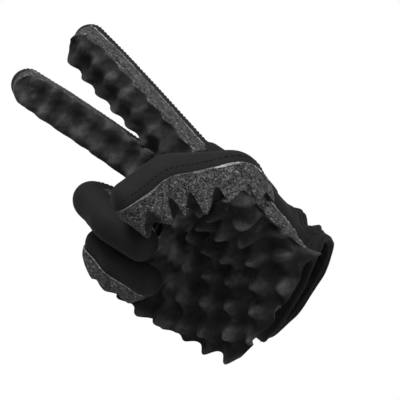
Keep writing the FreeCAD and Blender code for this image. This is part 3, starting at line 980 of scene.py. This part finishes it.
def palm_sponge(hinges):
    """The thick sheet over palm and thumb root, with its moulded face, cut rim and backing."""
    rows, cols = PALM_SHEET_SIZE
    surface = spline(palm_guides(hinges), np.linspace(0, 1, rows))
    surface = spline(surface.transpose(1, 0, 2), np.linspace(0, 1, cols)).transpose(1, 0, 2)
    normal = grid_normals(surface, (0, -1, -0.4))
    across = run_length(surface, 1)
    across = across - across[:, cols // 2:cols // 2 + 1]
    along = run_length(surface, 0)
    v, u = np.meshgrid(np.linspace(0, 1, rows), np.linspace(0, 1, cols), indexing="ij")
    crate = egg_crate(-across, along, PALM_TURN, PALM_PHASE, PALM_LATTICE, 2.0)
    x, z = surface[..., 0], surface[..., 2]
    # the bent fingers press part of the palm flat
    pressed = smooth_step((z - 46) / 14) * smooth_step((4 - x) / 12) * smooth_step((x + 44) / 10)
    height = SHEET_HIGH * (1 - 0.55 * pressed) * crate * (1 + 0.10 * wobble(surface, 37.0, 2.0))
    height += 0.3 * wobble(surface, 4.3, 1.0) - 3.0 * pressed
    top = surface + normal * height[..., None]
    # the cut edge beside the thumb slopes, so that it shows from the palm side
    slope = RIM_SLOPE * (1 - smooth_step(u / RIM_WIDTH))
    top = top + unit_rows(surface[:, 1:2] - surface[:, :1]) * slope[..., None]
    bottom = surface - normal * SHEET_LOW
    inward = unit_rows(surface[1] - surface[0])
    bottom = bottom + inward * (WRIST_BEVEL * (1 - smooth_step(v / BEVEL_LENGTH)))[..., None]
    middle = surface.mean(axis=(0, 1))
    build = Builder()
    build.grid(top, FACE)
    build.grid(bottom, CUT)
    edges = []
    every, backwards = slice(None), slice(None, None, -1)
    for pick in ((0, every), (every, -1), (-1, backwards), (backwards, 0)):
        edges.append((top[pick][:-1], bottom[pick][:-1]))
    upper = np.concatenate([e[0] for e in edges])
    lower = np.concatenate([e[1] for e in edges])
    out = upper + lower - 2 * middle
    out -= (out * unit_rows(upper - lower)).sum(-1, keepdims=True) * unit_rows(upper - lower)
    out = unit_rows(out)
    wall = []
    for k in np.concatenate([np.linspace(1, BACKING, 10), [BACKING / 2, 0.0]]):
        p = lower * (1 - k) + upper * k
        if 0 < k < 1:
            p = p + out * (PALM_BOW * math.sin(math.pi * k) + 0.25 * wobble(p, 3.3, 5.0))[:, None]
        if 0 < k < BACKING:
            p = p + out * (0.4 + 0.3 * wobble(p, 1.9, 3.0))[:, None]
        wall.append(p)
    build.grid(np.array(wall), lambda r, c: EDGE if r >= 9 else CUT, wrap=True)
    obj = build.make("palm_sponge", SPONGE)
    # the crate's height, stored for the painted highlight on the peaks and painted shade in the hollows
    mark_peaks(obj, np.concatenate([crate.ravel(), np.zeros(build.count - crate.size)]))
    remake(obj, weld)
    return obj


def unit_rows(v):
    return v / np.maximum(np.linalg.norm(v, axis=-1, keepdims=True), 1e-9)


def weld(bm):
    """Join the edges of the grids that a piece is made of, and close what is left open."""
    bmesh.ops.remove_doubles(bm, verts=bm.verts, dist=0.02 * MM)
    bmesh.ops.holes_fill(bm, edges=[e for e in bm.edges if e.is_boundary])
    bmesh.ops.recalc_face_normals(bm, faces=bm.faces)


# ---- cuff ----

CUFF_HALF = (29.7, 20.5)  # half width and half thickness of the wrist opening
CUFF_POWER = 2.25  # above 2, so that its outline is a little squarer than an ellipse


def cuff():
    """The folded hem round the wrist opening: a soft double band."""
    profile = [(0.0, 1.0), (0.4, 0.2), (1.3, 0.0), (2.1, 0.5), (2.35, 2.5), (2.3, 6.0), (2.0, 7.6),
               (1.3, 8.2), (0.6, 7.8), (0.2, 6.0), (-0.4, 4.0), (-0.35, 2.0)]
    count = 150
    rings = []
    for out, z in profile:
        ring = slot_ring(z, 0.0, *(half + out for half in CUFF_HALF), count=count, power=CUFF_POWER)
        ring[:, 2] += 0.25 * np.sin(np.arange(count) * 0.35)
        swell = 0.35 * wobble(ring, 9.0, 2.0) * (1 if out > 1 else 0)
        a = np.arange(count) * 2 * math.pi / count
        ring[:, 0] += swell * np.cos(a)
        ring[:, 1] += swell * np.sin(a)
        rings.append(ring)
    grid = droop(np.array(rings + rings[:1]))
    build = Builder()
    around = np.arange(count + 1) * 160.0 / count
    build.grid(grid, 0, (around, np.linspace(0, 22, len(rings) + 1)), wrap=True)
    obj = build.make("cuff_hem_band", [CUFF_CLOTH])
    remake(obj, weld)
    rows = []
    for height in (5.6, 1.6):
        ring = slot_ring(height, 0.0, *(half + 2.4 for half in CUFF_HALF), count=220, power=CUFF_POWER)
        ring = droop(np.concatenate([ring, ring[:1]]))
        out = ring * [1 / 900, 1 / 440, 0]
        rows.append((ring, out))
    thread = stitches("cuff_stitches", rows)
    return obj, thread


def tape():
    """The elastic tape sewn inside the back of the wrist."""
    count = 80
    a = np.linspace(0.15, math.pi - 0.15, count)
    rings = []
    for inset, z in ((1.2, 9.0), (1.2, 14.5), (2.1, 14.5), (2.1, 9.0)):
        x = np.sign(np.cos(a)) * np.abs(np.cos(a)) ** (2 / 2.6) * (29.9 - inset)
        y = np.sin(a) ** (2 / 2.6) * (20.0 - inset)
        rings.append(np.stack([x, y, np.full(count, z)], axis=1))
    build = Builder()
    build.tube(np.array(rings).transpose(1, 0, 2))
    obj = build.make("wrist_elastic_tape", [TAPE], smooth=False)
    outward(obj)
    return obj


# ---- scene ----

def studio():
    floor = bpy.data.meshes.new("floor")
    size, drop = 40.0, -0.45        # metres
    corners = [(-size, -size, drop), (size, -size, drop), (size, size, drop), (-size, size, drop)]
    floor.from_pydata(corners, [], [(0, 1, 2, 3)])
    obj = bpy.data.objects.new("floor", floor)
    bpy.context.scene.collection.objects.link(obj)
    pale = bpy.data.materials.new("floor_pale")
    pale.use_nodes = True
    inputs = pale.node_tree.nodes["Principled BSDF"].inputs
    inputs["Base Color"].default_value = (0.9, 0.9, 0.9, 1)
    inputs["Roughness"].default_value = 0.9
    inputs["Emission Color"].default_value = (1, 1, 1, 1)
    inputs["Emission Strength"].default_value = 0.25
    floor.materials.append(pale)
    world = bpy.data.worlds.new("studio")
    bpy.context.scene.world = world
    world.use_nodes = True
    tree = world.node_tree
    tree.nodes["Background"].inputs["Color"].default_value = (1.0, 1.0, 1.0, 1)
    seen = tree.nodes.new("ShaderNodeLightPath").outputs["Is Camera Ray"]
    level = tree.nodes.new("ShaderNodeMapRange")
    level.inputs["To Min"].default_value, level.inputs["To Max"].default_value = 0.45, 1.0
    tree.links.new(seen, level.inputs["Value"])
    tree.links.new(level.outputs["Result"], tree.nodes["Background"].inputs["Strength"])
    bpy.context.scene.view_settings.view_transform = "Standard"


def lamp(name, place, aim, size, power):
    light = bpy.data.lights.new(name, "AREA")
    light.shape, light.size, light.energy = "DISK", size, power
    obj = bpy.data.objects.new(name, light)
    obj.location = place
    obj.rotation_euler = (Vector(aim) - Vector(place)).to_track_quat("-Z", "Y").to_euler()
    bpy.context.scene.collection.objects.link(obj)


CAMERA = dict(azimuth=17.8, elevation=-20.8, roll=54.1, distance=600.0, lens=104.2,
              aim=(0.0, -20.0, 90.0), right=26.3, up=-1.3)


def camera():
    """The camera looks up at the palm and is rolled, so that the hand points up to the left."""
    c = CAMERA
    a, e, r = (math.radians(c[k]) for k in ("azimuth", "elevation", "roll"))
    back = vec([math.sin(a) * math.cos(e), -math.cos(a) * math.cos(e), math.sin(e)])
    level = vec([math.cos(a), math.sin(a), 0])
    rise = np.cross(back, level)
    right = math.cos(r) * level - math.sin(r) * rise
    up = math.sin(r) * level + math.cos(r) * rise
    aim = vec(c["aim"]) + right * c["right"] + up * c["up"]
    place = (aim + back * c["distance"]) * MM
    data = bpy.data.cameras.new("camera")
    data.lens, data.sensor_width, data.clip_start = c["lens"], 36.0, 0.01
    obj = bpy.data.objects.new("camera", data)
    matrix = Matrix.Identity(4)
    for col, axis in enumerate((right, up, back)):
        for row in range(3):
            matrix[row][col] = axis[row]
    matrix.translation = Vector(place)
    obj.matrix_world = matrix
    bpy.context.scene.collection.objects.link(obj)
    bpy.context.scene.camera = obj
    return right, up, back


SWING_WAY = (0.55, -0.83, 0)  # from the root of the thumb, the way in which palm turns into thumb
SWING_REACH = (8.0, 24.0)  # where along it that starts and ends, mm


def main():
    hinges = digit_hinges()
    right, up, back = camera()
    studio()
    centre = vec(CAMERA["aim"]) * MM
    lamp("key", centre + (up * 0.85 - right * 0.25 + back * 0.45), centre, 0.45, 14.0)
    lamp("fill", centre + (back * 0.9 + right * 0.5), centre, 0.9, 4.0)
    for name in DIGITS:
        finger(name, hinges[name])
    thumb(hinges["thumb"])
    root = joint_place("thumb_swing")
    swing_start, swing_end = (tuple((root + vec(SWING_WAY) * reach) * MM) for reach in SWING_REACH)
    shell = hand_shell(hinges)
    dress(shell, "knit_fabric", "palm_back_panel", "palm_front_panel", "thumb_base_stall")
    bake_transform(shell, "palm", "thumb_base", start=swing_start, end=swing_end)
    sponge = palm_sponge(hinges)
    dress(sponge, "foam", "palm_foam", "thumb_base_foam")
    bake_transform(sponge, "palm", "thumb_base", start=swing_start, end=swing_end)
    hem, thread = cuff()
    dress(hem, "cuff_binding", "cuff_hem")
    dress(thread, "cuff_binding")
    band = tape()
    dress(band, "elastic", "wrist_elastic")
    for obj in (hem, thread, band):
        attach(obj, "palm")


main()
